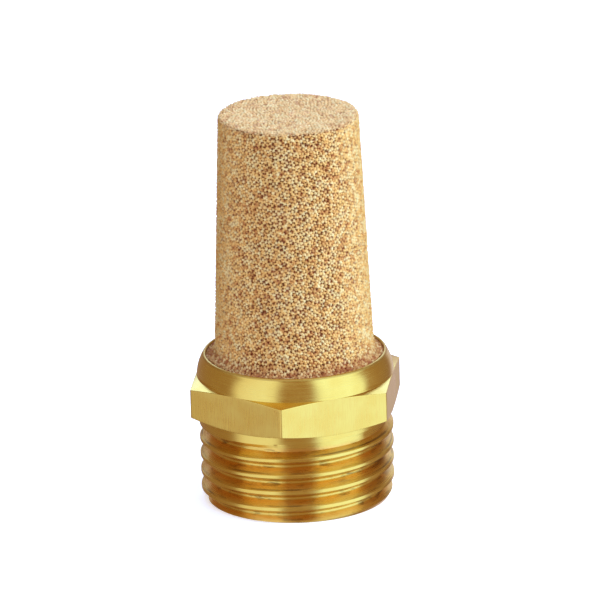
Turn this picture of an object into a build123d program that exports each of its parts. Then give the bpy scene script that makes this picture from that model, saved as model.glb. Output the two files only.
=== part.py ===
from build123d import *
import math
import os

# Pneumatic exhaust muffler with a G 1/2 male thread.
# A turned hexagon body carries a hollow sintered bronze element, crimped in by the body's collar.
# Millimetres. Origin: centre of the open inlet end of the thread. +Z runs up the axis to the tip.

# Thread: Whitworth form, right-hand, 14 turns per inch
PITCH = 25.4 / 14
FLANK_ANGLE = 27.5                 # from a plane square to the axis
MAJOR_R = 10.375
CREST_R_AT_END = 10.31             # the crests fall a little towards the open end
THREAD_DEPTH = 0.640327 * PITCH
ROOT_R = 0.137329 * PITCH
CREST_LAND = 0.09
CUTTER_STANDOFF = 0.25             # how far the cutter's section reaches outside the crests

# Where the thread groove sits, by angle about +Z from +X
GROOVE_Z = 8.07
GROOVE_Z_AT_ANGLE = -82.3
RUN_OUT_START = -2.0               # the tool starts to leave the metal at this angle
RUN_OUT_TURN = 115.0               # and is clear of it after this many degrees

# Body: threaded shank
INLET_OUTER_R = 9.74
INLET_CHAMFER_TOP = 0.9
BORE_R = 7.25
BORE_CHAMFER = 0.4
PLAIN_BAND_BOTTOM = 9.36
SHANK_TOP = 9.68

# Body: hexagon
HEX_ACROSS_FLATS = 21.0
HEX_TOP = 13.7                     # where the collar meets the hexagon
UNDERSIDE_SLOPE = 20.0
TOP_SLOPE = 10.5

# Body: collar and seat for the element
COLLAR_BASE_R = 10.50
COLLAR_MID_R = 10.28
COLLAR_MID_Z = 14.95
LIP_R = 9.84
LIP_Z = 15.86
RIM_R = 9.58
RIM_Z = 16.06
SEAT_Z = 12.9

# Sintered element
FLANGE_R = 9.6
CRIMP_START_Z = 14.5
CRIMPED_R = 9.48
FLANGE_TOP = 15.94
CONE_FOOT_R = 8.56
CONE_TIP_R = 7.52
FULL_HEIGHT = 42.5
TIP_FILLET = 0.3
FOOT_FILLET = 0.8
CAVITY_MOUTH_R = 6.25
CAVITY_END_R = 5.0
CAVITY_END_Z = 39.4
CAVITY_END_FILLET = 2.0


def ring_from(outline):
    """Turn a closed outline in the XZ plane about the Z axis."""
    return revolve(make_face(outline), axis=Axis.Z)


def point(r, z):
    """A point of a turned profile."""
    return (r, 0, z)


def turned_body():
    """The body as it leaves the lathe, with a disc where the hexagon will be."""
    blank_r = HEX_ACROSS_FLATS / math.sqrt(3) + 0.5
    underside_z = SHANK_TOP + (blank_r - MAJOR_R) * math.tan(math.radians(UNDERSIDE_SLOPE))
    top_z = HEX_TOP - (blank_r - COLLAR_BASE_R) * math.tan(math.radians(TOP_SLOPE))
    lip_mid = point(LIP_R - 0.35 * (LIP_R - RIM_R), RIM_Z - 0.25 * (RIM_Z - LIP_Z))
    shank_and_hexagon = Polyline(
        point(BORE_R, SEAT_Z),
        point(BORE_R, BORE_CHAMFER),
        point(BORE_R + BORE_CHAMFER, 0),
        point(INLET_OUTER_R, 0),
        point(CREST_R_AT_END, INLET_CHAMFER_TOP),
        point(MAJOR_R, PLAIN_BAND_BOTTOM),
        point(MAJOR_R, SHANK_TOP),
        point(blank_r, underside_z),
        point(blank_r, top_z),
        point(COLLAR_BASE_R, HEX_TOP),
    )
    collar = ThreePointArc(
        point(COLLAR_BASE_R, HEX_TOP), point(COLLAR_MID_R, COLLAR_MID_Z), point(LIP_R, LIP_Z)
    )
    lip = ThreePointArc(point(LIP_R, LIP_Z), lip_mid, point(RIM_R, RIM_Z))
    seat = Polyline(
        point(RIM_R, RIM_Z),
        point(CRIMPED_R, FLANGE_TOP),
        point(FLANGE_R, CRIMP_START_Z),
        point(FLANGE_R, SEAT_Z),
        point(BORE_R, SEAT_Z),
    )
    return ring_from([shank_and_hexagon, collar, lip, seat])


def hexagon_limits():
    """Everything outside the six flats, at the height of the hexagon."""
    across_corners = HEX_ACROSS_FLATS * 2 / math.sqrt(3)
    flats = RegularPolygon(across_corners / 2, 6, rotation=30)
    waste = Circle(across_corners) - flats
    height = HEX_TOP - SHANK_TOP + 2
    return Pos(0, 0, SHANK_TOP - 1) * extrude(waste, height)


def groove_section():
    """The thread cutter's section: x points outwards, y along the axis."""
    slope = math.tan(math.radians(FLANK_ANGLE))
    sine = math.sin(math.radians(FLANK_ANGLE))
    cosine = math.cos(math.radians(FLANK_ANGLE))
    root_x = -THREAD_DEPTH
    root_tangent = (root_x + ROOT_R * (1 - sine), ROOT_R * cosine)
    crest_y = (PITCH - CREST_LAND) / 2
    # The crest's rounding touches both the flank and the outside of the shank.
    flank_y_at_crest = root_tangent[1] - root_tangent[0] * slope
    crest_r = (crest_y - flank_y_at_crest) / math.tan(math.radians((90 - FLANK_ANGLE) / 2))
    crest_tangent = (-crest_r * (1 - sine), crest_y - crest_r * cosine)
    crest_mid_angle = math.radians(45 + FLANK_ANGLE / 2)
    crest_mid = (
        -crest_r * (1 - math.sin(crest_mid_angle)),
        crest_y - crest_r * math.cos(crest_mid_angle),
    )
    standoff = [
        (0, -crest_y), (CUTTER_STANDOFF, -crest_y), (CUTTER_STANDOFF, crest_y), (0, crest_y)
    ]

    def mirrored(place):
        return (place[0], -place[1])

    outline = [
        ThreePointArc(root_tangent, (root_x, 0), mirrored(root_tangent)),
        Line(mirrored(root_tangent), mirrored(crest_tangent)),
        ThreePointArc(mirrored(crest_tangent), mirrored(crest_mid), (0, -crest_y)),
        Polyline(*standoff),
        ThreePointArc((0, crest_y), crest_mid, crest_tangent),
        Line(crest_tangent, root_tangent),
    ]
    return make_face(outline)


def swept_along(path):
    """The cutter's section swept along a helix that starts on the +X side."""
    square_to_path = Plane(origin=path @ 0, x_dir=(1, 0, 0), z_dir=path % 0)
    return sweep(square_to_path * groove_section(), path=path, is_frenet=True)


def thread_groove():
    """The groove over the whole shank, with the run-out under the hexagon."""
    run_out_z = GROOVE_Z + PITCH * (RUN_OUT_START - GROOVE_Z_AT_ANGLE) / 360
    turns = math.ceil((run_out_z + PITCH) / PITCH)
    main = swept_along(Helix(PITCH, turns * PITCH, MAJOR_R))
    main = Pos(0, 0, run_out_z - turns * PITCH) * main

    run_out_rise = PITCH * RUN_OUT_TURN / 360
    lift = THREAD_DEPTH + 0.15
    cone_angle = math.degrees(math.atan(lift / run_out_rise))
    run_out = swept_along(Helix(PITCH, run_out_rise, MAJOR_R, cone_angle=cone_angle))
    run_out = Pos(0, 0, run_out_z) * run_out
    return [Rot(0, 0, RUN_OUT_START) * piece for piece in (main, run_out)]


def brass_body():
    body = turned_body() - hexagon_limits()
    for groove in thread_groove():
        body = body - groove
    return body


def rings_of_radius(shape, radius):
    """The circular edges of one radius."""
    rings = shape.edges().filter_by(GeomType.CIRCLE)
    return rings.filter_by(lambda ring: abs(ring.radius - radius) < 0.001)


def sintered_element():
    """The hollow element: flange, tapered wall and closed tip."""
    foot_r = CONE_FOOT_R + (RIM_Z - FLANGE_TOP) * (CONE_FOOT_R - CONE_TIP_R) / (FULL_HEIGHT - RIM_Z)
    outside = ring_from(Polyline(
        point(0, SEAT_Z),
        point(FLANGE_R, SEAT_Z),
        point(FLANGE_R, CRIMP_START_Z),
        point(CRIMPED_R, FLANGE_TOP),
        point(foot_r, FLANGE_TOP),
        point(CONE_TIP_R, FULL_HEIGHT),
        point(0, FULL_HEIGHT),
        close=True,
    ))
    outside = fillet(rings_of_radius(outside, foot_r), FOOT_FILLET)
    outside = fillet(rings_of_radius(outside, CONE_TIP_R), TIP_FILLET)
    cavity = ring_from(Polyline(
        point(0, SEAT_Z),
        point(CAVITY_MOUTH_R, SEAT_Z),
        point(CAVITY_END_R, CAVITY_END_Z),
        point(0, CAVITY_END_Z),
        close=True,
    ))
    end = cavity.edges().filter_by(GeomType.CIRCLE).sort_by(Axis.Z)[-1]
    return outside - fillet(end, CAVITY_END_FILLET)


os.makedirs("parts", exist_ok=True)
for name, shape in (("brass_body", brass_body()), ("sintered_element", sintered_element())):
    shape.label = name
    export_step(shape, f"parts/{name}.step")
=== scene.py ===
import math

import bpy
import numpy as np
from mathutils import Matrix, Vector
from mathutils.geometry import delaunay_2d_cdt
from mathutils.kdtree import KDTree


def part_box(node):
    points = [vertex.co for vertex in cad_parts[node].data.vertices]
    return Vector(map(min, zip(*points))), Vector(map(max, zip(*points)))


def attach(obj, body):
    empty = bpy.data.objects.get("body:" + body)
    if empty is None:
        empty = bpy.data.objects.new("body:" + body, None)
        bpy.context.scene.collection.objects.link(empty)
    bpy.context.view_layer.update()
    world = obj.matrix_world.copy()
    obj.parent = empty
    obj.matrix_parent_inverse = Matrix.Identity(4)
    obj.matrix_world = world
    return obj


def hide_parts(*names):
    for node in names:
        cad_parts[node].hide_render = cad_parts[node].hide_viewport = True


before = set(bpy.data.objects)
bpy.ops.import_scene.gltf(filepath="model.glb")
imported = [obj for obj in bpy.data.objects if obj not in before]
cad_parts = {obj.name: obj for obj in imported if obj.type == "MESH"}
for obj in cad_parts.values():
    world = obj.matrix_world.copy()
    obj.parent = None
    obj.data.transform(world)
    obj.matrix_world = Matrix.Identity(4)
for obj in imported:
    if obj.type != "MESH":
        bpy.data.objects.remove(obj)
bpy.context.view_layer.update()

MM = 0.001

# Heights and radii of the two pieces, taken from the frame (millimetres)
body_low, body_high = (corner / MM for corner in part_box("brass_body"))
element_low, element_high = (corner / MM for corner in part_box("sintered_element"))
ACROSS_FLATS = body_high.x - body_low.x
RIM_Z = body_high.z
SEAT_Z = element_low.z
FLANGE_R = element_high.x
TIP_Z = element_high.z

# Thread, as on the CAD body
PITCH = 25.4 / 14
FLANK = math.radians(27.5)
MAJOR_R = 10.375
CREST_R_AT_END = 10.31
THREAD_DEPTH = 0.640327 * PITCH
ROOT_ROUND = 0.137329 * PITCH
CREST_LAND = 0.09
GROOVE_Z = 8.07
GROOVE_Z_AT_ANGLE = math.radians(-82.3)
RUN_OUT_START = math.radians(-2.0)
RUN_OUT_TURN = math.radians(115.0)
RUN_OUT_LIFT = THREAD_DEPTH + 0.15
LOWEST_TURN = -7                   # the turns, counted from the one at GROOVE_Z, that cover the shank
HIGHEST_TURN = 2
CLEAR_OF_METAL = 9                 # depth given to places outside the groove's own pitch

# The last turn gets a square upper side and gets shallower. Only this mesh has that, not the CAD body.
LAST_TURN_ANGLES = np.radians([-125.0, -95.0, -35.0])
LAST_TURN_DEPTHS = [THREAD_DEPTH, 1.02, 0.73]
LAST_TURN_WALL = 0.16              # height over which the square upper side rises

# Body outline
INLET_OUTER_R = 9.74
INLET_CHAMFER_TOP = 0.9
BORE_R = 7.25
BORE_CHAMFER = 0.4
PLAIN_BAND_BOTTOM = 9.36
SHANK_TOP = 9.68
HEX_TOP = 13.7
UNDERSIDE_SLOPE = math.radians(20.0)
TOP_SLOPE = math.radians(10.5)
COLLAR_BASE_R = 10.50
COLLAR_MID_R = 10.28
COLLAR_MID_Z = 14.95
LIP_R = 9.84
LIP_Z = 15.86
RIM_R = 9.58
CORNER_ROUND = 0.20
EDGE_ROUND = 0.09
COLLAR_FOOT_ROUND = 0.05
SHARP_ANGLE = math.radians(28)     # edges sharper than this aren't smoothed over

# Element outline
CRIMP_START_Z = 14.5
CRIMPED_R = 9.48
FLANGE_TOP = 15.94
CONE_FOOT_R = 8.56
CONE_TIP_R = 7.52
TIP_FILLET = 0.3
FOOT_FILLET = 0.8
CAVITY_MOUTH_R = 6.25
CAVITY_END_R = 5.0
CAVITY_END_Z = 39.4
CAVITY_END_FILLET = 2.0

# Beads
BEAD_PITCH = 0.40
BEAD_SIZE_SPREAD = 0.25
INNER_BEAD_PITCH = 0.66
BEADS_UP_TO_LIP = 0.16             # how far the flange's beads stand above its nominal top
BEADS_FROM_LIP = 0.12              # how far inside the crimped edge the flat of the flange ends
BEADS_DOWN_SIDE = 0.30             # how far down the flange's side the beads go
DEEP_BEADS = 0.18                  # share of the surface beads that lie below the others
RANDOM_SEED = 7


# ---------------------------------------------------------------- meshes

def mesh_object(name, points, faces, materials, face_materials=None):
    """A smooth-shaded object from points in millimetres."""
    mesh = bpy.data.meshes.new(name)
    mesh.from_pydata((np.asarray(points) * MM).tolist(), [], faces)
    mesh.validate()
    for material in materials:
        mesh.materials.append(material)
    if face_materials is not None:
        mesh.polygons.foreach_set("material_index", face_materials)
    mesh.shade_smooth()
    piece = bpy.data.objects.new(name, mesh)
    bpy.context.scene.collection.objects.link(piece)
    return piece


def welded(points, faces, tags):
    """Merge points that coincide and drop the faces that this closes up."""
    keys = np.round(np.asarray(points) / 1e-5).astype(np.int64)
    _, first, label = np.unique(keys, axis=0, return_index=True, return_inverse=True)
    label = label.ravel()
    kept_faces = []
    kept_tags = []
    for face, tag in zip(faces, tags):
        corners = []
        for corner in (int(label[index]) for index in face):
            if corner not in corners:
                corners.append(corner)
        if len(corners) > 2:
            kept_faces.append(corners)
            kept_tags.append(tag)
    return np.asarray(points)[first], kept_faces, kept_tags


# ---------------------------------------------------------------- brass body

def hexagon_radius(angle):
    """Distance from the axis to the hexagon's side, with slightly rounded corners."""
    from_flat = (angle + math.pi / 6) % (math.pi / 3) - math.pi / 6
    side = ACROSS_FLATS / 2 / np.cos(from_flat)
    from_corner = np.abs(np.abs(from_flat) - math.pi / 6)
    centre = ACROSS_FLATS / math.sqrt(3) - CORNER_ROUND / math.sin(math.pi / 3)
    inside = np.maximum(CORNER_ROUND ** 2 - (centre * np.sin(from_corner)) ** 2, 0)
    rounded = centre * np.cos(from_corner) + np.sqrt(inside)
    return np.where(from_corner < corner_half_angle(), rounded, side)


def corner_half_angle():
    """Half the angle that a rounded corner takes up, seen from the axis."""
    centre = ACROSS_FLATS / math.sqrt(3) - CORNER_ROUND / math.sin(math.pi / 3)
    tangent_out = centre + CORNER_ROUND * math.cos(math.pi / 6)
    tangent_side = CORNER_ROUND * math.sin(math.pi / 6)
    return math.atan2(tangent_side, tangent_out)


def body_angles():
    """Angles of the columns: every degree, and closer together at the hexagon's corners."""
    half = corner_half_angle()
    angles = list(np.radians(np.arange(0, 360, 1.0)))
    for corner in range(6):
        middle = math.pi / 6 + corner * math.pi / 3
        for share in (-1, -0.5, 0.5, 1):
            angles.append(middle + share * half)
    return np.unique(np.round(np.sort(angles), 9))


def rounded_corner(before, corner, after, radius, steps):
    """Points of a fillet at a corner of the profile; every argument may vary with the angle."""
    to_before = before - corner
    to_after = after - corner
    reach_before = np.linalg.norm(to_before, axis=-1, keepdims=True)
    reach_after = np.linalg.norm(to_after, axis=-1, keepdims=True)
    to_before = to_before / reach_before
    to_after = to_after / reach_after
    cosine = np.sum(to_before * to_after, axis=-1, keepdims=True)
    half = np.arccos(np.clip(cosine, -1, 1)) / 2
    cut = np.minimum(radius / np.tan(half), 0.45 * np.minimum(reach_before, reach_after))
    start = corner + to_before * cut
    end = corner + to_after * cut
    rows = []
    for step in range(steps + 1):
        share = step / steps
        inner = start * (1 - share) + corner * share
        outer = corner * (1 - share) + end * share
        rows.append(inner * (1 - share) + outer * share)
    return rows


def arc_rows(start, middle, end, steps):
    """Rows of an arc through three points of the turned profile, without its first point."""
    (ax, ay), (bx, by), (cx, cy) = start, middle, end
    d = 2 * (ax * (by - cy) + bx * (cy - ay) + cx * (ay - by))
    a2, b2, c2 = ax * ax + ay * ay, bx * bx + by * by, cx * cx + cy * cy
    ox = (a2 * (by - cy) + b2 * (cy - ay) + c2 * (ay - by)) / d
    oy = (a2 * (cx - bx) + b2 * (ax - cx) + c2 * (bx - ax)) / d
    radius = math.hypot(ax - ox, ay - oy)
    first = math.atan2(ay - oy, ax - ox)
    sweep = (math.atan2(cy - oy, cx - ox) - first + math.pi) % (2 * math.pi) - math.pi
    turns = [first + sweep * step / steps for step in range(1, steps + 1)]
    return [(ox + radius * math.cos(turn), oy + radius * math.sin(turn)) for turn in turns]


def groove_profile():
    """One pitch of the thread from crest to crest: heights from the groove's centre, and depths."""
    tangent = math.pi / 2 - FLANK
    root_y = ROOT_ROUND * math.cos(FLANK)
    root_x = -THREAD_DEPTH + ROOT_ROUND * (1 - math.sin(FLANK))
    crest_y = (PITCH - CREST_LAND) / 2
    gap = crest_y - (root_y - root_x * math.tan(FLANK))
    crest_round = gap / math.tan(tangent / 2)
    upper = []
    for share in np.linspace(0, 1, 4):
        turn = share * tangent
        upper.append((ROOT_ROUND * math.sin(turn), -THREAD_DEPTH + ROOT_ROUND * (1 - math.cos(turn))))
    for share in np.linspace(1, 0, 5):
        turn = share * tangent
        upper.append((crest_y - crest_round * math.sin(turn), -crest_round * (1 - math.cos(turn))))
    lower = [(-height, depth) for height, depth in reversed(upper[1:])]
    return np.array(lower + upper)


def shank_radius(z):
    """Radius of the plain shank before it is threaded."""
    return np.interp(z, [0, INLET_CHAMFER_TOP, PLAIN_BAND_BOTTOM, SHANK_TOP],
                     [INLET_OUTER_R, CREST_R_AT_END, MAJOR_R, MAJOR_R])


def threaded_radius(angle, z, profile):
    """Radius of the threaded shank at any angle and height."""
    centre = GROOVE_Z + PITCH * (angle - GROOVE_Z_AT_ANGLE) / (2 * math.pi)
    radius = shank_radius(z)
    for turn in range(LOWEST_TURN, HIGHEST_TURN):
        height = z - centre - PITCH * turn
        helix_angle = angle + 2 * math.pi * turn
        share = np.clip((helix_angle - RUN_OUT_START) / RUN_OUT_TURN, 0, 10)
        depth = np.interp(height, profile[:, 0], profile[:, 1],
                          left=CLEAR_OF_METAL, right=CLEAR_OF_METAL)
        depth = last_turn_depth(depth, height, helix_angle, z)
        radius = np.minimum(radius, MAJOR_R + depth + share * RUN_OUT_LIFT)
    return radius


def last_turn_depth(depth, height, helix_angle, z):
    """Squares the upper side of the groove in its last turn, below the plain band."""
    bottom = -np.interp(helix_angle, LAST_TURN_ANGLES, LAST_TURN_DEPTHS)
    below_edge = np.minimum(PITCH / 2 - height, PLAIN_BAND_BOTTOM - z)
    wall = bottom * np.clip(below_edge / LAST_TURN_WALL, 0, 1)
    squared = np.where(height > 0, np.minimum(depth, wall), depth)
    share = np.interp(helix_angle, LAST_TURN_ANGLES[:2], [0, 1])
    inside = np.abs(height) < PITCH / 2
    return np.where(inside, np.maximum(depth + share * (squared - depth), bottom), depth)


def threaded_shank(angles):
    """Points and faces of the threaded shank, with rows that follow the helix."""
    profile = groove_profile()
    per_turn = len(profile)
    heights = profile[:, 0]
    # Enough turns for the rows to cover the shank at every angle. Rows past its ends are held at the
    # end, where they merge later.
    turns = np.arange(LOWEST_TURN, HIGHEST_TURN + 1)
    offsets = (heights[None, :] + PITCH * turns[:, None]).ravel()
    rise = PITCH * (angles - GROOVE_Z_AT_ANGLE) / (2 * math.pi)
    z = GROOVE_Z + rise[:, None] + offsets[None, :]
    z = np.clip(z, 0, SHANK_TOP)
    angle_grid = np.broadcast_to(angles[:, None], z.shape)
    r = threaded_radius(angle_grid, z, profile)
    points = np.stack([r * np.cos(angle_grid), r * np.sin(angle_grid), z], axis=-1)
    columns, rows = z.shape
    faces = []
    for column in range(columns):
        last = column == columns - 1
        following = 0 if last else column + 1
        shift = per_turn if last else 0
        for row in range(rows - 1 - shift):
            faces.append((
                column * rows + row,
                following * rows + row + shift,
                following * rows + row + shift + 1,
                column * rows + row + 1,
            ))
    return points.reshape(-1, 3), faces


def ring_rows(angles):
    """Rows of the body's profile from the hexagon's underside, over the collar and down the bore."""
    count = len(angles)

    def row(r, z):
        return np.stack([np.broadcast_to(r, count), np.broadcast_to(z, count)], axis=-1)

    hexagon = hexagon_radius(angles)
    under_z = SHANK_TOP + (hexagon - MAJOR_R) * math.tan(UNDERSIDE_SLOPE)
    upper_z = HEX_TOP - (hexagon - COLLAR_BASE_R) * math.tan(TOP_SLOPE)
    shank = row(MAJOR_R, SHANK_TOP)
    lower = row(hexagon, under_z)
    upper = row(hexagon, upper_z)
    base = row(COLLAR_BASE_R, HEX_TOP)
    collar_mid = row(COLLAR_MID_R, COLLAR_MID_Z)
    rows = [("turned", shank)]
    rows += [("turned", shank * (1 - share) + lower * share) for share in (0.15, 0.5)]
    edge = rounded_corner(shank, lower, upper, EDGE_ROUND, 4)
    rows += [("turned", place) for place in edge[:-1]] + [("flat", edge[-1])]
    edge = rounded_corner(lower, upper, base, EDGE_ROUND, 4)
    middle = (rows[-1][1] + edge[0]) / 2
    rows += [("flat", rows[-1][1] * 0.9 + edge[0] * 0.1), ("flat", middle)]
    rows += [("flat", rows[-3][1] * 0.1 + edge[0] * 0.9), ("flat", edge[0])]
    rows += [("turned", place) for place in edge[1:]]
    foot = rounded_corner(upper, base, collar_mid, COLLAR_FOOT_ROUND, 2)
    rows += [("turned", place) for place in foot]
    collar = arc_rows((COLLAR_BASE_R, HEX_TOP), (COLLAR_MID_R, COLLAR_MID_Z), (LIP_R, LIP_Z), 14)
    lip_mid = (LIP_R - 0.35 * (LIP_R - RIM_R), RIM_Z - 0.25 * (RIM_Z - LIP_Z))
    lip = arc_rows((LIP_R, LIP_Z), lip_mid, (RIM_R, RIM_Z), 6)
    hidden = [
        (CRIMPED_R, FLANGE_TOP), (FLANGE_R, CRIMP_START_Z), (FLANGE_R, SEAT_Z + 0.02),
        (FLANGE_R - 0.02, SEAT_Z), (BORE_R + 0.03, SEAT_Z),
    ]
    bore = [(BORE_R, SEAT_Z - 0.03)]
    bore += [(BORE_R, z) for z in np.linspace(SEAT_Z - 0.3, BORE_CHAMFER + 0.3, 10)]
    bore += [(BORE_R, BORE_CHAMFER + 0.02), (BORE_R + 0.02, BORE_CHAMFER - 0.02)]
    bore += [(BORE_R + BORE_CHAMFER - 0.02, 0.02), (BORE_R + BORE_CHAMFER + 0.02, 0)]
    rows += [("turned", row(*place)) for place in collar]
    rows += [("lip", row(*place)) for place in lip + hidden]
    rows += [("bore", row(*place)) for place in bore]
    return rows


def brass_body(materials):
    """The whole body as one closed mesh: threaded shank, hexagon, collar, seat and bore."""
    angles = body_angles()
    count = len(angles)
    points, faces = threaded_shank(angles)
    tags = ["thread"] * len(faces)
    profile = groove_profile()
    end_r = threaded_radius(angles, np.zeros(count), profile)
    rows = ring_rows(angles)
    for share in (0.1, 0.6, 1.0):
        r = (BORE_R + BORE_CHAMFER + 0.02) * (1 - share) + end_r * share
        rows.append(("end", np.stack([r, np.zeros(count)], axis=-1)))
    parts = [points]
    start = len(points)
    for _, place in rows:
        r, z = place[:, 0], place[:, 1]
        parts.append(np.stack([r * np.cos(angles), r * np.sin(angles), z], axis=-1))
    for index in range(len(rows) - 1):
        here = start + index * count
        above = here + count
        for column in range(count):
            following = (column + 1) % count
            faces.append((here + column, here + following, above + following, above + column))
            tags.append(rows[index + 1][0])
    points, faces, tags = welded(np.concatenate(parts), faces, tags)
    order = {name: index for index, name in enumerate(materials)}
    face_materials = [order[tag] for tag in tags]
    piece = mesh_object("turned_body", points, faces, list(materials.values()), face_materials)
    piece.data.set_sharp_from_angle(angle=SHARP_ANGLE)
    return piece


# ---------------------------------------------------------------- sintered element

def profile_curve(points, fillets, spacing=0.05):
    """A fine polyline through the corners of a profile, with fillets, as radius and height."""
    corners = [np.array(point, float) for point in points]
    track = [corners[0]]
    for index in range(1, len(corners) - 1):
        radius = fillets.get(index, 0)
        if radius:
            back = corners[index - 1] - corners[index]
            ahead = corners[index + 1] - corners[index]
            back /= np.linalg.norm(back)
            ahead /= np.linalg.norm(ahead)
            half = math.acos(float(back @ ahead)) / 2
            centre = corners[index] + (back + ahead) / np.linalg.norm(back + ahead) * radius / math.sin(half)
            first = corners[index] + back * radius / math.tan(half) - centre
            last = corners[index] + ahead * radius / math.tan(half) - centre
            steps = 8
            for step in range(steps + 1):
                blend = first * (1 - step / steps) + last * step / steps
                track.append(centre + blend / np.linalg.norm(blend) * radius)
        else:
            track.append(corners[index])
    track.append(corners[-1])
    fine = [track[0]]
    for here, there in zip(track, track[1:]):
        pieces = max(1, int(np.linalg.norm(there - here) / spacing))
        fine += [here + (there - here) * (step + 1) / pieces for step in range(pieces)]
    return np.array(fine)


class Skin:
    """A surface of revolution that starts on the axis, addressed by angle and distance along it."""

    def __init__(self, curve, outward):
        self.curve = curve
        steps = np.diff(curve, axis=0)
        lengths = np.linalg.norm(steps, axis=1)
        self.along = np.concatenate([[0], np.cumsum(lengths)])
        side = np.stack([steps[:, 1], -steps[:, 0]], axis=1) / lengths[:, None] * outward
        side = np.concatenate([side[:1], (side[1:] + side[:-1]) / 2, side[-1:]])
        self.side = side / np.linalg.norm(side, axis=1)[:, None]
        r = np.maximum(curve[:, 0], 1e-6)
        middle = (r[1:] + r[:-1]) / 2
        self.area = np.concatenate([[0], np.cumsum(2 * math.pi * middle * lengths)])
        # Conformal radius: the surface laid flat on a disc with its small shapes kept.
        growth = lengths / middle
        start = np.argmax(r > 0.5)
        log_r = np.full(len(r), math.log(r[start]))
        log_r[start + 1:] += np.cumsum(growth[start:])
        log_r[:start] = np.log(r[:start])
        self.flat = np.exp(log_r)

    def point(self, angle, along):
        """Place on the surface."""
        r = np.interp(along, self.along, self.curve[:, 0])
        z = np.interp(along, self.along, self.curve[:, 1])
        return np.stack([r * np.cos(angle), r * np.sin(angle), z], axis=-1)

    def normal(self, angle, along):
        """Outward direction of the surface."""
        out = np.interp(along, self.along, self.side[:, 0])
        up = np.interp(along, self.along, self.side[:, 1])
        return np.stack([out * np.cos(angle), out * np.sin(angle), up], axis=-1)

    def nearest(self, points):
        """Angle and distance along of the surface's points nearest to these."""
        r = np.hypot(points[:, 0], points[:, 1])
        z = points[:, 2]
        best = np.full(len(points), np.inf)
        along = np.zeros(len(points))
        for index in range(len(self.curve)):
            gap = (r - self.curve[index, 0]) ** 2 + (z - self.curve[index, 1]) ** 2
            closer = gap < best
            best[closer] = gap[closer]
            along[closer] = self.along[index]
        return np.arctan2(points[:, 1], points[:, 0]), along


def scattered_beads(skin, pitch, border, random):
    """Beads spread over a skin, then pushed apart by their sizes: angle, distance along and size."""
    limit = skin.along[-1] - 0.5 * pitch
    area = np.interp(limit, skin.along, skin.area)
    count = int(area / (pitch ** 2 * math.sqrt(3) / 2))
    order = (np.arange(count) + 0.5 + random.uniform(-0.4, 0.4, count)) / count
    along = np.interp(order * area, skin.area, skin.along)
    angle = np.arange(count) * math.pi * (3 - math.sqrt(5)) + random.uniform(-0.5, 0.5, count) * 0.05
    along = along + random.uniform(-0.35, 0.35, count) * pitch
    along = np.clip(along, 0.01, limit)
    size = pitch * random.uniform(1 - BEAD_SIZE_SPREAD, 1 + BEAD_SIZE_SPREAD, count)
    all_sizes = np.concatenate([size, np.full(len(border), pitch)])
    points = skin.point(angle, along)
    for _ in range(8):
        everything = np.concatenate([points, border])
        tree = KDTree(len(everything))
        for index, place in enumerate(everything):
            tree.insert(place, index)
        tree.balance()
        near = np.array([[hit[1] for hit in tree.find_n(place, 8)][1:] for place in points])
        apart = points[:, None, :] - everything[near]
        distance = np.linalg.norm(apart, axis=2, keepdims=True)
        reach = (size[:, None] + all_sizes[near])[:, :, None] / 2
        push = np.maximum(reach - distance, 0) / np.maximum(distance, 1e-6) * apart
        points = points + 0.32 * push.sum(axis=1)
        angle, along = skin.nearest(points)
        along = np.clip(along + random.uniform(-0.02, 0.02, count), 0.0, limit)
        points = skin.point(angle, along)
    return angle, along, size


def flat_layout(skin, angle, along):
    """Places of the beads on the surface laid flat."""
    radius = np.interp(along, skin.along, skin.flat)
    return np.stack([radius * np.cos(angle), radius * np.sin(angle)], axis=1)


def unit(vectors):
    """The same directions with a length of one."""
    return vectors / np.linalg.norm(vectors, axis=-1)[..., None]


def bead_triangles(skin, angle, along):
    """The beads joined into triangles that all face the same way."""
    layout = flat_layout(skin, angle, along)
    layout = layout / np.abs(layout).max()
    tris = np.array(delaunay_2d_cdt([Vector(place) for place in layout], [], [], 0, 1e-12)[2])
    a, b, c = (layout[tris[:, corner]] for corner in range(3))
    area = (b[:, 0] - a[:, 0]) * (c[:, 1] - a[:, 1]) - (b[:, 1] - a[:, 1]) * (c[:, 0] - a[:, 0])
    tris[area < 0] = tris[area < 0][:, ::-1]
    return tris


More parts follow.
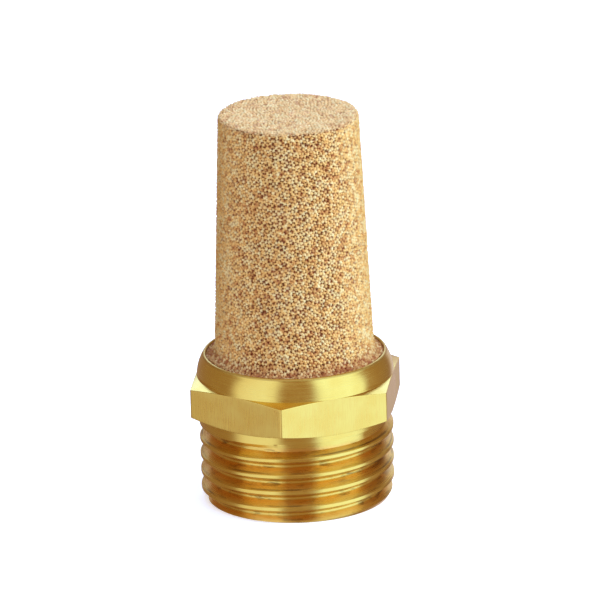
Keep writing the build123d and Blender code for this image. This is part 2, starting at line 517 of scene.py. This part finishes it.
def bead_skin(skin, pitch, border_angles, random):
    """Fused beads over a skin, with a tone and a depth for each point, and the loop of its border."""
    border_along = np.full(len(border_angles), skin.along[-1])
    border = skin.point(border_angles, border_along)
    angle, along, size = scattered_beads(skin, pitch, border, random)
    free = len(angle)
    angle = np.concatenate([angle, border_angles])
    along = np.concatenate([along, border_along])
    beads = len(angle)
    tris = bead_triangles(skin, angle, along)

    surface = skin.point(angle, along)
    normal = skin.normal(angle, along)
    radius = np.concatenate([size, np.full(len(border_angles), pitch)]) / 2
    sunk = np.abs(random.normal(0, 0.03, beads)) * pitch
    deep = random.random(beads) < DEEP_BEADS
    sunk = np.where(deep, random.uniform(0.12, 0.40, beads) * pitch, sunk)
    sunk[free:] = 0.0
    tone = random.random(beads)
    # The middle of each triangle is a pit between three beads.
    middle = surface[tris].mean(axis=1)
    inwards = -unit(normal[tris].mean(axis=1))
    gap = np.linalg.norm(surface[tris] - middle[:, None, :], axis=2).max(axis=1)
    wide = np.clip(gap / (pitch / math.sqrt(3)), 0.5, 1.4)
    pit_depth = pitch * random.uniform(0.40, 1.0, len(tris)) * wide
    pit_depth[(tris >= free).any(axis=1)] = 0.5 * pitch

    # The middle of each edge is the neck where two beads have fused.
    ends, edge_of = bead_edges(tris)
    neck_place = surface[ends].mean(axis=1)
    neck_inwards = -unit(normal[ends].mean(axis=1))
    span = np.linalg.norm(surface[ends[:, 0]] - surface[ends[:, 1]], axis=1)
    overlap = np.clip(radius[ends].sum(axis=1) / span, 0.7, 1.2)
    neck_depth = sunk[ends].mean(axis=1) + pitch * np.interp(overlap, [0.7, 1.0, 1.2], [0.66, 0.40, 0.26])
    neck_depth[(ends >= free).all(axis=1)] = 0.0

    points = np.concatenate([
        surface - normal * sunk[:, None],
        neck_place + neck_inwards * neck_depth[:, None],
        middle + inwards * pit_depth[:, None],
    ])
    tones = np.concatenate([tone, tone[ends].mean(axis=1), random.random(len(tris))])
    depths = np.concatenate([sunk, neck_depth, pit_depth]) / pitch
    faces = bead_faces(tris, edge_of + beads, beads + len(ends))
    border_edges = {tuple(pair): index for index, pair in enumerate(ends.tolist())}
    loop = []
    for here in range(free, beads):
        there = here + 1 if here + 1 < beads else free
        loop += [here, beads + border_edges[(min(here, there), max(here, there))]]
    tops = np.arange(len(points)) < beads
    return {"points": points, "faces": faces, "tones": tones, "depths": depths, "tops": tops, "border": loop}


def bead_edges(tris):
    """The two beads of every edge, and the three edges of every triangle."""
    pairs = np.stack([tris, np.roll(tris, -1, axis=1)], axis=2).reshape(-1, 2)
    ends, edge_of = np.unique(np.sort(pairs, axis=1), axis=0, return_inverse=True)
    return ends, edge_of.reshape(-1, 3)


def bead_faces(tris, necks, pit_start):
    """Twelve or so faces round the top of each bead, out to its necks and pits."""
    pits = np.arange(len(tris)) + pit_start
    faces = []
    for corner in range(3):
        top = tris[:, corner]
        faces.append(np.stack([top, necks[:, corner], pits], axis=1))
        faces.append(np.stack([top, pits, necks[:, corner - 1]], axis=1))
    return np.concatenate(faces).tolist()


def crease_between_beads(mesh, tops):
    """Sharpen every edge that has no bead top at either end, so that each bead is shaded alone."""
    ends = np.zeros(2 * len(mesh.edges), np.int64)
    mesh.edges.foreach_get("vertices", ends)
    sharp = ~tops[ends].reshape(-1, 2).any(axis=1)
    layer = mesh.attributes.new("sharp_edge", "BOOLEAN", "EDGE")
    layer.data.foreach_set("value", sharp)


def sintered_element(material):
    """The whole element as one closed mesh of fused beads, outside and in."""
    random = np.random.default_rng(RANDOM_SEED)
    foot_r = CONE_FOOT_R + (RIM_Z - FLANGE_TOP) * (CONE_FOOT_R - CONE_TIP_R) / (TIP_Z - RIM_Z)
    ledge_z = FLANGE_TOP + BEADS_UP_TO_LIP
    outside = Skin(profile_curve(
        [(0, TIP_Z), (CONE_TIP_R, TIP_Z), (foot_r, ledge_z), (CRIMPED_R - BEADS_FROM_LIP, ledge_z),
         (CRIMPED_R, ledge_z - BEADS_DOWN_SIDE)],
        {1: TIP_FILLET, 2: FOOT_FILLET},
    ), -1)
    inside = Skin(profile_curve(
        [(0, CAVITY_END_Z), (CAVITY_END_R, CAVITY_END_Z), (CAVITY_MOUTH_R, SEAT_Z), (FLANGE_R, SEAT_Z)],
        {1: CAVITY_END_FILLET},
    ), 1)
    columns = int(2 * math.pi * CRIMPED_R / BEAD_PITCH)
    ring = np.arange(columns) * 2 * math.pi / columns
    outer = bead_skin(outside, BEAD_PITCH, ring, random)
    inner = bead_skin(inside, INNER_BEAD_PITCH, ring, random)

    # The hidden side of the flange closes the mesh between the two borders.
    shift = len(outer["points"])
    bend_start = shift + len(inner["points"])
    sides = 2 * columns
    turns = np.arange(sides) * math.pi / columns
    bend_z = np.full(sides, CRIMP_START_Z)
    bend = {
        "points": np.stack([FLANGE_R * np.cos(turns), FLANGE_R * np.sin(turns), bend_z], axis=1),
        "tones": np.full(sides, 0.5),
        "depths": np.zeros(sides),
        "tops": np.ones(sides, bool),
    }
    whole = {key: np.concatenate([outer[key], inner[key], bend[key]]) for key in bend}
    faces = outer["faces"] + [[index + shift for index in reversed(face)] for face in inner["faces"]]
    inner_border = [index + shift for index in inner["border"]]
    loops = [outer["border"], range(bend_start, bend_start + sides), inner_border]
    for upper, lower in zip(loops, loops[1:]):
        for index in range(sides):
            following = (index + 1) % sides
            faces.append((upper[index], lower[index], lower[following], upper[following]))
    piece = mesh_object("bead_element", whole["points"], faces, [material])
    crease_between_beads(piece.data, whole["tops"])
    for name, values in (("bead_tone", whole["tones"]), ("pore_depth", whole["depths"])):
        layer = piece.data.attributes.new(name, "FLOAT", "POINT")
        layer.data.foreach_set("value", values)
    return piece


# ---------------------------------------------------------------- materials

class Nodes:
    """Short calls for building a node tree."""

    def __init__(self, tree):
        self.tree = tree
        self.tree.nodes.clear()

    def add(self, kind, settings=None, **inputs):
        """A new node. An underscore in an input's name stands for a space."""
        node = self.tree.nodes.new(kind)
        for key, value in (settings or {}).items():
            setattr(node, key, value)
        for key, value in inputs.items():
            self.plug(node, key.replace("_", " "), value)
        return node

    def plug(self, node, key, value):
        """Link a socket to an input, or set its value. The input is a name or a number."""
        socket = node.inputs[int(key) if key.isdigit() else key]
        if isinstance(value, bpy.types.NodeSocket):
            self.tree.links.new(value, socket)
        else:
            socket.default_value = value

    def math(self, operation, a, b=0.0):
        """The result of one operation on two numbers."""
        node = self.add("ShaderNodeMath", {"operation": operation})
        self.plug(node, "0", a)
        self.plug(node, "1", b)
        return node.outputs[0]

    def mix(self, share, a, b):
        """Colour a where the share is 0, and b where it's 1."""
        node = self.add("ShaderNodeMix", {"data_type": "RGBA", "clamp_factor": True})
        for index, value in ((0, share), (6, a), (7, b)):
            self.plug(node, str(index), value)
        return node.outputs[2]

    def spread(self, value, low, high, to_low=0.0, to_high=1.0):
        """A value stretched from one range to another, and held at its ends."""
        node = self.add("ShaderNodeMapRange", {"clamp": True})
        for index, number in enumerate((value, low, high, to_low, to_high)):
            self.plug(node, str(index), number)
        return node.outputs[0]

    def noise(self, vector, scale, detail=2.0, roughness=0.5):
        """Soft random values from 0 to 1, mostly near the middle."""
        node = self.add("ShaderNodeTexNoise", Vector=vector, Scale=scale, Detail=detail, Roughness=roughness)
        return node.outputs[0]


def new_material(name):
    """An empty node material."""
    material = bpy.data.materials.new(name)
    material.use_nodes = True
    return material, Nodes(material.node_tree)


def colour(red, green, blue):
    """A linear colour, fully opaque."""
    return (red, green, blue, 1.0)


BRASS = colour(0.75, 0.49, 0.09)
BRASS_PALE = colour(0.80, 0.57, 0.12)
BRASS_DULL = colour(0.64, 0.32, 0.06)
# painted reflection: the deeper orange that light bounced between the thread's brass flanks gives
BRASS_GROOVE_BOUNCE = colour(0.92, 0.43, 0.11)
# dark colour for real stains and for painted shade and shadow lines
BRASS_STAIN_AND_SHADE = colour(0.20, 0.105, 0.03)
DARKEST_GROOVE_ANGLE = math.radians(-6.0)  # the thread's groove is darkest on this side
DARKEST_GROOVE_GAIN = 0.11
BRONZE_PALE = colour(1.0, 0.80, 0.35)
BRONZE = colour(0.98, 0.59, 0.16)
BRONZE_RED = colour(0.62, 0.22, 0.05)
BRONZE_CLOUD = colour(0.86, 0.45, 0.12)
# painted light on the top face
BRONZE_TOP_LIGHT = colour(0.92, 0.80, 0.56)
# painted shade at the foot of the cone, next to the lip
BRONZE_FOOT_SHADE = colour(0.34, 0.10, 0.028)
# painted shade in the pores between beads
BRONZE_PORE_SHADE = colour(0.36, 0.085, 0.022)


def cylindrical(nodes):
    """Position in millimetres as radius, angle and height."""
    position = nodes.add("ShaderNodeNewGeometry").outputs["Position"]
    scaled = nodes.add("ShaderNodeVectorMath", {"operation": "SCALE"})
    nodes.plug(scaled, "0", position)
    nodes.plug(scaled, "Scale", 1 / MM)
    parts = nodes.add("ShaderNodeSeparateXYZ", Vector=scaled.outputs[0])
    x, y, z = parts.outputs
    radius = nodes.math("SQRT", nodes.math("ADD", nodes.math("MULTIPLY", x, x), nodes.math("MULTIPLY", y, y)))
    return radius, nodes.math("ARCTAN2", y, x), z, scaled.outputs[0]


def crest_line(nodes, radius, along):
    """Painted shadow: dark patches in a thin line on the upper flank, just below the crest."""
    inner = nodes.spread(radius, MAJOR_R - 0.42, MAJOR_R - 0.30)
    outer = nodes.spread(radius, MAJOR_R - 0.24, MAJOR_R - 0.12, 1.0, 0.0)
    normal = nodes.add("ShaderNodeNewGeometry").outputs["Normal"]
    upward = nodes.add("ShaderNodeSeparateXYZ", Vector=normal).outputs[2]
    line = nodes.math("MULTIPLY", nodes.math("MULTIPLY", inner, outer), nodes.spread(upward, 0.3, 0.6))
    patches = nodes.spread(nodes.noise(along, 0.7, 3.0, 0.6), 0.46, 0.60, 0.0, 0.75)
    return nodes.math("MULTIPLY", line, patches)


def brass_material(name, streaks, streak_tone, roughness, anisotropy, bump, grime_and_painted_light=0.0, painted_shade=0.0):
    """Machined brass. Streaks run round the axis on turned faces and along it on drawn flats.

    Highlights are stretched across the streaks, as tool marks do it.
    """
    material, nodes = new_material(name)
    radius, angle, z, place = cylindrical(nodes)
    if streaks == "round":
        stretched = nodes.add("ShaderNodeCombineXYZ", X=radius, Y=z, Z=nodes.math("MULTIPLY", angle, 0.25))
        scale = 9.0
    else:
        parts = nodes.add("ShaderNodeSeparateXYZ", Vector=place)
        stretched = nodes.add("ShaderNodeCombineXYZ", X=parts.outputs[0], Y=parts.outputs[1],
                              Z=nodes.math("MULTIPLY", z, 0.06))
        scale = 11.0
    lines = nodes.noise(stretched.outputs[0], scale, 3.0, 0.6)
    clouds = nodes.noise(place, 0.35, 3.0, 0.55)
    base = nodes.mix(nodes.spread(clouds, 0.35, 0.65), BRASS, BRASS_PALE)
    base = nodes.mix(nodes.spread(lines, 0.30, 0.70, streak_tone, 0.0), base, BRASS_DULL)
    # Painted reflection: the groove's flanks below the top turn are tinted a deeper orange, as light bounced
    # between brass flanks makes them.
    if grime_and_painted_light:
        root = nodes.spread(radius, MAJOR_R - THREAD_DEPTH, MAJOR_R - 0.1 * THREAD_DEPTH, 1.0, 0.0)
        root = nodes.math("MULTIPLY", root, nodes.spread(z, GROOVE_Z - 0.05, GROOVE_Z + 0.30, 1.0, 0.0))
        bright_root = nodes.spread(radius, MAJOR_R - 0.97 * THREAD_DEPTH, MAJOR_R - 0.82 * THREAD_DEPTH)
        flank = nodes.math("MULTIPLY", root, bright_root)
        base = nodes.mix(nodes.math("MULTIPLY", flank, grime_and_painted_light), base, BRASS_GROOVE_BOUNCE)
        # Dark streaks round the axis in the groove, most on one side: partly stains, partly a painted shadow
        # line along the root.
        along = nodes.add("ShaderNodeCombineXYZ", X=radius, Y=z, Z=nodes.math("MULTIPLY", angle, 2.5))
        stain_and_shadow = nodes.noise(along.outputs[0], 1.6, 4.0, 0.65)
        from_darkest_groove = nodes.math("ABSOLUTE", nodes.math("SUBTRACT", angle, DARKEST_GROOVE_ANGLE))
        stain_and_shadow = nodes.math("ADD", stain_and_shadow, nodes.spread(from_darkest_groove, 0.15, 0.45, DARKEST_GROOVE_GAIN, 0.0))
        stain_and_shadow = nodes.math("MULTIPLY", nodes.spread(stain_and_shadow, 0.54, 0.68, 0.0, 0.85), root)
        base = nodes.mix(stain_and_shadow, base, BRASS_STAIN_AND_SHADE)
        # painted shadow line, in patches, beside the crest
        base = nodes.mix(crest_line(nodes, radius, along.outputs[0]), base, BRASS_STAIN_AND_SHADE)
    # Painted shade: the colour is darkened towards the dark stain colour. The crimped lip uses this for the
    # shade inside the lip and to dim its highlight.
    base = nodes.mix(painted_shade, base, BRASS_STAIN_AND_SHADE)
    rough = nodes.math("ADD", nodes.spread(lines, 0.3, 0.7, roughness - 0.05, roughness + 0.08),
                       nodes.spread(clouds, 0.3, 0.7, -0.03, 0.03))
    relief = nodes.add("ShaderNodeBump", Strength=bump, Distance=0.02 * MM, Height=lines)
    shader = nodes.add("ShaderNodeBsdfPrincipled", Base_Color=base, Metallic=1.0, Roughness=rough)
    nodes.plug(shader, "Normal", relief.outputs[0])
    nodes.plug(shader, "Anisotropic", anisotropy)
    nodes.plug(shader, "Anisotropic Rotation", 0.25 if streaks == "round" else 0.0)
    tangent = nodes.add("ShaderNodeTangent", {"direction_type": "RADIAL", "axis": "Z"})
    nodes.plug(shader, "Tangent", tangent.outputs[0])
    output = nodes.add("ShaderNodeOutputMaterial")
    nodes.plug(output, "Surface", shader.outputs[0])
    return material


def bronze_material():
    """Fused bronze beads: each bead has its own tone, and the pores between them are painted darker and
    redder, as their shade.
    """
    material, nodes = new_material("sintered_bronze_beads")
    _, _, z, place = cylindrical(nodes)
    tone = nodes.add("ShaderNodeAttribute", {"attribute_name": "bead_tone"}).outputs["Fac"]
    depth = nodes.add("ShaderNodeAttribute", {"attribute_name": "pore_depth"}).outputs["Fac"]
    pale = nodes.mix(nodes.spread(tone, 0.1, 0.6), BRONZE_PALE, BRONZE)
    base = nodes.mix(nodes.spread(tone, 0.66, 0.92, 0.0, 0.9), pale, BRONZE_RED)
    clouds = nodes.noise(place, 0.7, 3.0, 0.6)
    base = nodes.mix(nodes.spread(clouds, 0.4, 0.7, 0.0, 0.25), base, BRONZE_CLOUD)
    # Painted light: the top face and its rounded edge are paler, as the light from above leaves them.
    lit_top = nodes.spread(z, TIP_Z - 0.50, TIP_Z, 0.0, 0.34)
    base = nodes.mix(lit_top, base, BRONZE_TOP_LIGHT)
    # Painted shade: the beads at the foot, next to the brass lip, are dark red-brown, fading upwards and
    # varied bead by bead.
    foot = nodes.spread(z, FLANGE_TOP + 0.15, FLANGE_TOP + 1.2, 0.85, 0.0)
    foot = nodes.math("MULTIPLY", foot, nodes.spread(tone, 0.15, 0.75, 0.35, 1.0))
    base = nodes.mix(foot, base, BRONZE_FOOT_SHADE)
    # Painted shade: the deeper a point lies between the beads, the darker and redder it is coloured.
    base = nodes.mix(nodes.spread(depth, 0.34, 0.78, 0.0, 0.9), base, BRONZE_PORE_SHADE)
    speckle = nodes.noise(place, 9.0, 2.0, 0.6)
    relief = nodes.add("ShaderNodeBump", Strength=0.35, Distance=0.03 * MM, Height=speckle)
    rough = nodes.spread(speckle, 0.3, 0.7, 0.42, 0.60)
    shader = nodes.add("ShaderNodeBsdfPrincipled", Base_Color=base, Metallic=0.50, Roughness=rough)
    nodes.plug(shader, "Normal", relief.outputs[0])
    output = nodes.add("ShaderNodeOutputMaterial")
    nodes.plug(output, "Surface", shader.outputs[0])
    return material


# ---------------------------------------------------------------- studio

CAMERA_AZIMUTH = math.radians(7.7)
CAMERA_ELEVATION = math.radians(18.3)
CAMERA_ROLL = math.radians(1.56)
CAMERA_DISTANCE = 963.0
CAMERA_LENS = 542.2
AIM_Z = 13.4                       # a point of the axis, near the hexagon's top
AIM_RIGHT = 0.51                   # the camera aims this far right of it and above it
AIM_UP = 7.84


def studio_camera():
    """A long lens, a little above the object and rolled slightly."""
    azimuth, elevation = CAMERA_AZIMUTH, CAMERA_ELEVATION
    back = Vector((
        math.sin(azimuth) * math.cos(elevation),
        -math.cos(azimuth) * math.cos(elevation),
        math.sin(elevation),
    ))
    level = Vector((math.cos(azimuth), math.sin(azimuth), 0))
    upright = back.cross(level)
    right = level * math.cos(CAMERA_ROLL) - upright * math.sin(CAMERA_ROLL)
    up = level * math.sin(CAMERA_ROLL) + upright * math.cos(CAMERA_ROLL)
    target = Vector((0, 0, AIM_Z)) + right * AIM_RIGHT + up * AIM_UP
    camera = bpy.data.objects.new("camera", bpy.data.cameras.new("camera"))
    bpy.context.scene.collection.objects.link(camera)
    camera.data.sensor_width = 36.0
    camera.data.lens = CAMERA_LENS
    camera.data.clip_start = 0.01
    camera.data.clip_end = 20.0
    turn = Matrix((right, up, back)).transposed().to_4x4()
    camera.matrix_world = Matrix.Translation((target + back * CAMERA_DISTANCE) * MM) @ turn
    bpy.context.scene.camera = camera


# Brightness round the studio, by angle to the right of the camera in degrees, in order
DOME_RING = (
    (-180, 0.36), (-134, 0.34), (-84, 0.36), (-68, 1.12), (-26, 1.25), (-17, 0.42),
    (18, 0.42), (30, 1.48), (84, 1.48), (92, 0.44), (142, 0.32),
    (157, 0.78), (170, 0.78), (180, 0.36),
)
DOME_BACK = 1.7                    # the wall behind the object, above its low dim part
DOME_TOP = 1.3                     # overhead, as matt surfaces see it
DOME_TOP_SHINE = 0.95              # overhead, as shiny surfaces see it
KEY_AZIMUTH = math.radians(75.0)   # a soft key light on the right, seen by matt surfaces only
KEY_ELEVATION = math.radians(35.0)
KEY_DISTANCE = 300.0
KEY_SIZE = 120.0
KEY_WATTS = 0.60
FLOOR_SIZE = 6000.0
FLOOR_GAP = 0.05
FLOOR_GLOW = 0.42
WARM = (1.08, 0.73, 0.48)          # tint of the dim parts of the studio
COOL = (0.92, 1.09, 1.56)          # tint of the bright panels


def studio_light(level):
    """A brightness as a colour: warm where it's dim and cool where it's bright."""
    share = min(max((level - 0.3) / 0.9, 0), 1.4)
    return colour(*(level * (warm + (cool - warm) * share) for warm, cool in zip(WARM, COOL)))


def key_light():
    """A soft lamp that lights matt surfaces only."""
    turned = CAMERA_AZIMUTH + KEY_AZIMUTH
    reach = math.cos(KEY_ELEVATION)
    towards = Vector((reach * math.sin(turned), -reach * math.cos(turned), math.sin(KEY_ELEVATION)))
    lamp = bpy.data.lights.new("key_light", "AREA")
    lamp.size = KEY_SIZE * MM
    lamp.energy = KEY_WATTS
    lamp.color = (0.96, 1.0, 1.10)
    light = bpy.data.objects.new("key_light", lamp)
    bpy.context.scene.collection.objects.link(light)
    light.location = (Vector((0, 0, TIP_Z / 2)) + towards * KEY_DISTANCE) * MM
    light.rotation_euler = towards.to_track_quat("Z", "Y").to_euler()
    light.visible_glossy = False
    light.visible_camera = False


def studio_dome():
    """White for the camera. For everything else, panels of light round the object and one overhead."""
    world = bpy.data.worlds.new("studio")
    bpy.context.scene.world = world
    world.use_nodes = True
    nodes = Nodes(world.node_tree)
    direction = nodes.add("ShaderNodeTexCoord").outputs["Generated"]
    parts = nodes.add("ShaderNodeSeparateXYZ", Vector=direction)
    x, y, z = parts.outputs
    turned = nodes.math("SUBTRACT", nodes.math("ARCTAN2", y, x), CAMERA_AZIMUTH - math.pi / 2)
    turned = nodes.math("WRAP", turned, math.pi)
    turned.node.inputs[2].default_value = -math.pi
    share = nodes.spread(turned, -math.pi, math.pi)
    ramp = nodes.add("ShaderNodeValToRGB", Fac=share)
    ramp.color_ramp.interpolation = "EASE"
    stops = ramp.color_ramp.elements
    while len(stops) < len(DOME_RING):
        stops.new(0.5)
    for stop, (degrees, level) in zip(stops, DOME_RING):
        stop.position = (degrees + 180) / 360
        stop.color = studio_light(level)
    ring = ramp.outputs[0]
    behind = nodes.spread(nodes.math("ABSOLUTE", turned), math.radians(154), math.radians(164))
    behind = nodes.math("MULTIPLY", behind, nodes.spread(z, 0.22, 0.36))
    light = nodes.mix(behind, ring, studio_light(DOME_BACK))
    path = nodes.add("ShaderNodeLightPath")
    top = nodes.mix(path.outputs["Is Diffuse Ray"], studio_light(DOME_TOP_SHINE), studio_light(DOME_TOP))
    light = nodes.mix(nodes.spread(z, 0.80, 0.92), light, top)
    light = nodes.mix(nodes.spread(z, -0.98, -0.88, 0.8, 0.0), light, colour(0.5, 0.5, 0.5))
    lit = nodes.add("ShaderNodeBackground", Color=light, Strength=1.0)
    white = nodes.add("ShaderNodeBackground", Color=colour(1, 1, 1), Strength=1.0)
    chosen = nodes.add("ShaderNodeMixShader", Fac=path.outputs["Is Camera Ray"])
    nodes.plug(chosen, "1", lit.outputs[0])
    nodes.plug(chosen, "2", white.outputs[0])
    output = nodes.add("ShaderNodeOutputWorld")
    nodes.plug(output, "Surface", chosen.outputs[0])


def studio_floor():
    """A wide sheet of pale paper under the object. Only the camera sees it."""
    material, nodes = new_material("floor_paper")
    grain = nodes.noise(nodes.add("ShaderNodeNewGeometry").outputs["Position"], 400.0, 2.0)
    paper = nodes.mix(grain, colour(0.90, 0.90, 0.90), colour(0.94, 0.94, 0.94))
    diffuse = nodes.add("ShaderNodeBsdfDiffuse", Color=paper)
    glow = nodes.add("ShaderNodeEmission", Color=colour(1, 1, 1), Strength=FLOOR_GLOW)
    both = nodes.add("ShaderNodeAddShader")
    nodes.plug(both, "0", diffuse.outputs[0])
    nodes.plug(both, "1", glow.outputs[0])
    output = nodes.add("ShaderNodeOutputMaterial")
    nodes.plug(output, "Surface", both.outputs[0])
    half = FLOOR_SIZE / 2
    low = body_low.z - FLOOR_GAP
    corners = [(-half, -half, low), (half, -half, low), (half, half, low), (-half, half, low)]
    floor = mesh_object("floor", corners, [(0, 1, 2, 3)], [material])
    floor.visible_glossy = False
    floor.visible_diffuse = False


# ---------------------------------------------------------------- assembly

brass = {
    "turned": brass_material("turned_brass", "round", 0.10, 0.22, 0.4, 0.025),
    # the thread's grooves get stains, a painted reflection and painted shadow lines
    "thread": brass_material("threaded_brass", "round", 0.26, 0.28, 0.8, 0.08, grime_and_painted_light=0.55),
    "flat": brass_material("drawn_brass", "along", 0.45, 0.30, 0.0, 0.30),
    # the crimped lip has painted shade in its colour
    "lip": brass_material("crimped_brass", "round", 0.40, 0.38, 0.2, 0.20, painted_shade=0.22),
    "end": brass_material("faced_brass", "round", 0.30, 0.26, 0.5, 0.20),
    "bore": brass_material("bored_brass", "round", 0.30, 0.32, 0.4, 0.35),
}
body = brass_body(brass)
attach(body, "root")
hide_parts("brass_body")

element = sintered_element(bronze_material())
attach(element, "root")
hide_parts("sintered_element")

studio_floor()
studio_dome()
key_light()
studio_camera()
bpy.context.scene.view_settings.view_transform = "Standard"
